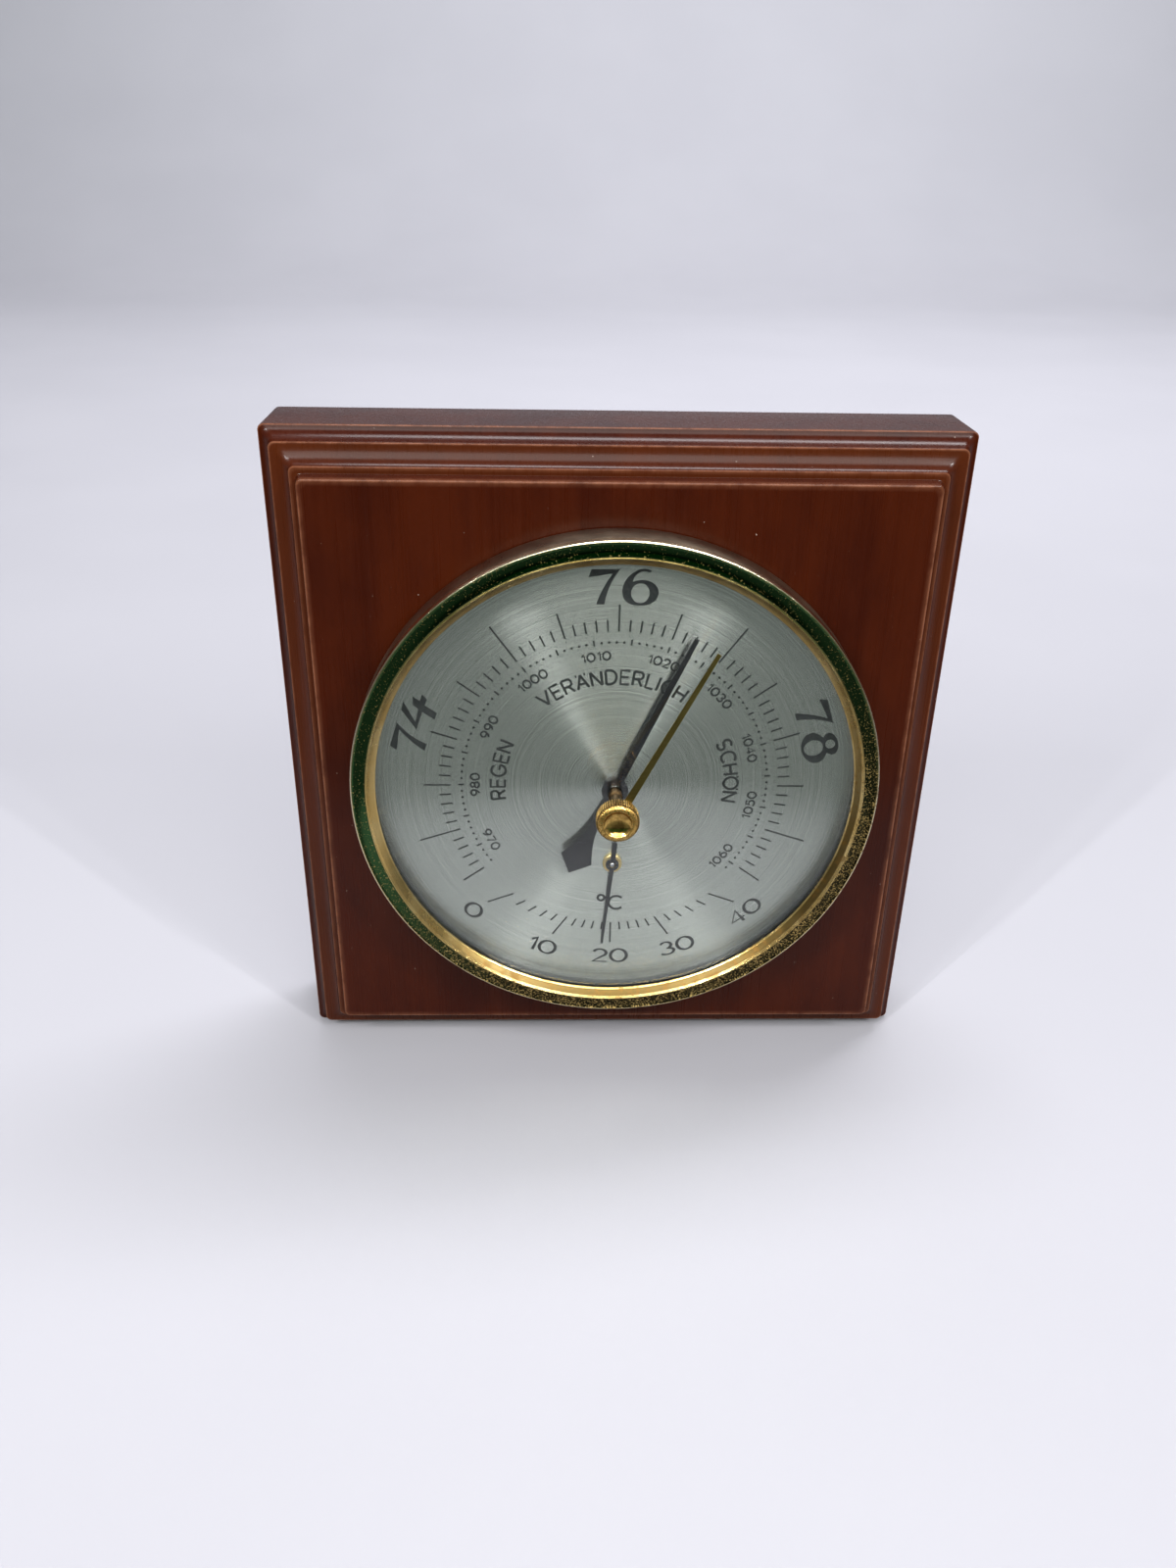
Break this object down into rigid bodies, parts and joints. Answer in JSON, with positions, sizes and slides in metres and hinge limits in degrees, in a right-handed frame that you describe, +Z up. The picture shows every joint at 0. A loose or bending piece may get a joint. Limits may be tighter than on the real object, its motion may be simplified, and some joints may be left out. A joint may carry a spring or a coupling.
{
  "type": "aneroid barometer",
  "caption": "Wall or shelf aneroid barometer: a routed square wooden case, domed-edge brass bezel, spun dial, pressure and set hands, an inset thermometer and a lever movement.",
  "frame": {"origin": "on the back plane of the wooden case, behind the middle notch of the sawtooth wall hanger, 55 mm above the dial's axis", "axes": "+X to the right as the dial is read, +Y backwards into the wall, +Z up; the dial faces -Y"},
  "size_m": [0.13, 0.046, 0.133],
  "materials": {
    "mahogany": "satin, close grain",
    "bezel_brass": "polished, speckled tarnish",
    "knob_brass": "polished",
    "movement_brass": "satin",
    "clip_brass": "dull",
    "hanger_steel": "zinc plated",
    "can_metal": "dull lacquered",
    "dial_aluminium": "spun, lacquered",
    "glass": "clear",
    "black_metal": "semi-gloss black",
    "steel": "polished",
    "spring_steel": "blued",
    "capsule_copper": "satin, tinned rim",
    "bimetal": "satin",
    "felt": "matt felt"
  },
  "bodies": {
    "case": {"base_plate": "movement_brass", "base_screw_1": "movement_brass", "base_screw_2": "movement_brass", "base_screw_3": "movement_brass", "bezel": "bezel_brass", "bimetal_coil": "bimetal", "bridge_pillar_1": "movement_brass", "bridge_pillar_2": "movement_brass", "bridge_plate": "movement_brass", "can_clip_1": "clip_brass", "can_clip_2": "clip_brass", "can_clip_3": "clip_brass", "capsule_lower": "capsule_copper", "capsule_upper": "capsule_copper", "case_block": "mahogany", "clip_screw_1": "clip_brass", "clip_screw_2": "clip_brass", "clip_screw_3": "clip_brass", "cover_glass": "glass", "dial_plate": "dial_aluminium", "felt_bumper_1": "felt", "felt_bumper_2": "felt", "front_plate": "movement_brass", "glass_spacer": "black_metal", "hairspring": "spring_steel", "hairspring_stud": "movement_brass", "hanger_screw_1": "clip_brass", "hanger_screw_2": "clip_brass", "hanger_strip": "hanger_steel", "movement_can": "can_metal", "pillar_1": "movement_brass", "pillar_2": "movement_brass", "pillar_3": "movement_brass", "pillar_screw_1": "steel", "pillar_screw_2": "steel", "pillar_screw_3": "steel", "rocker_bracket_1": "movement_brass", "rocker_bracket_2": "movement_brass", "thermo_bracket": "movement_brass", "thermo_collet": "movement_brass"},
    "set_pointer": {"set_hand": "knob_brass", "set_shaft": "knob_brass", "set_washer": "black_metal", "set_knob": "knob_brass"},
    "pressure_hand": {"pressure_pointer": "black_metal", "pointer_hub": "black_metal", "pointer_arbor": "steel", "pinion": "movement_brass"},
    "sector": {"toothed_sector": "movement_brass", "sector_arbor": "steel", "crank_pin": "steel"},
    "link": {"link_rod": "steel"},
    "rocker": {"rocker_shaft": "steel", "drive_arm": "steel", "lift_arm": "steel", "lift_pin": "steel"},
    "post": {"capsule_post": "steel"},
    "thermometer": {"thermo_hand": "black_metal", "thermo_arbor": "steel"},
    "adjuster": {"adjust_screw": "movement_brass"}
  },
  "joints": [
    {"name": "pressure_pointer_turn", "type": "hinge", "parent": "case", "child": "pressure_hand", "pos_m": [0, -0.0288, -0.055], "axis": [0, 1, 0], "range_deg": [-154.7, 105.3], "stiffness_Nm_per_rad": 0.002, "deforming": ["hairspring"]},
    {"name": "sector_turn", "type": "hinge", "parent": "case", "child": "sector", "pos_m": [-0.01336, -0.0216, -0.06836], "axis": [0, 1, 0], "range_deg": [-13.3, 19.5]},
    {"name": "link_slide", "type": "slide", "parent": "case", "child": "link", "axis": [0, 0, 1], "range_m": [-0.00052, 0.00076]},
    {"name": "rocker_rock", "type": "hinge", "parent": "case", "child": "rocker", "pos_m": [0.005, -0.0148, -0.0508], "axis": [1, 0, 0], "range_deg": [-7.8, 5.4]},
    {"name": "capsule_post_slide", "type": "slide", "parent": "case", "child": "post", "axis": [0, 1, 0], "range_m": [-0.00057, 0.00039], "deforming": ["capsule_upper"]},
    {"name": "set_pointer_turn", "type": "hinge", "parent": "case", "child": "set_pointer", "pos_m": [0, -0.0405, -0.055], "axis": [0, 1, 0], "continuous": true},
    {"name": "thermometer_turn", "type": "hinge", "parent": "case", "child": "thermometer", "pos_m": [0, -0.0281, -0.0729], "axis": [0, 1, 0], "range_deg": [-76, 66], "stiffness_Nm_per_rad": 0.0005, "deforming": ["bimetal_coil"]},
    {"name": "adjust_screw_turn", "type": "hinge", "parent": "case", "child": "adjuster", "pos_m": [0.005, -0.002, -0.055], "axis": [0, 1, 0], "range_deg": [-720, 720]}
  ],
  "couplings": [
    {"joint": "sector_turn", "follows": "pressure_pointer_turn", "ratio": -0.125},
    {"joint": "link_slide", "follows": "pressure_pointer_turn", "m_per_rad": -0.000275},
    {"joint": "rocker_rock", "follows": "pressure_pointer_turn", "ratio": 0.049107},
    {"joint": "capsule_post_slide", "follows": "pressure_pointer_turn", "m_per_rad": 0.00020625}
  ]
}
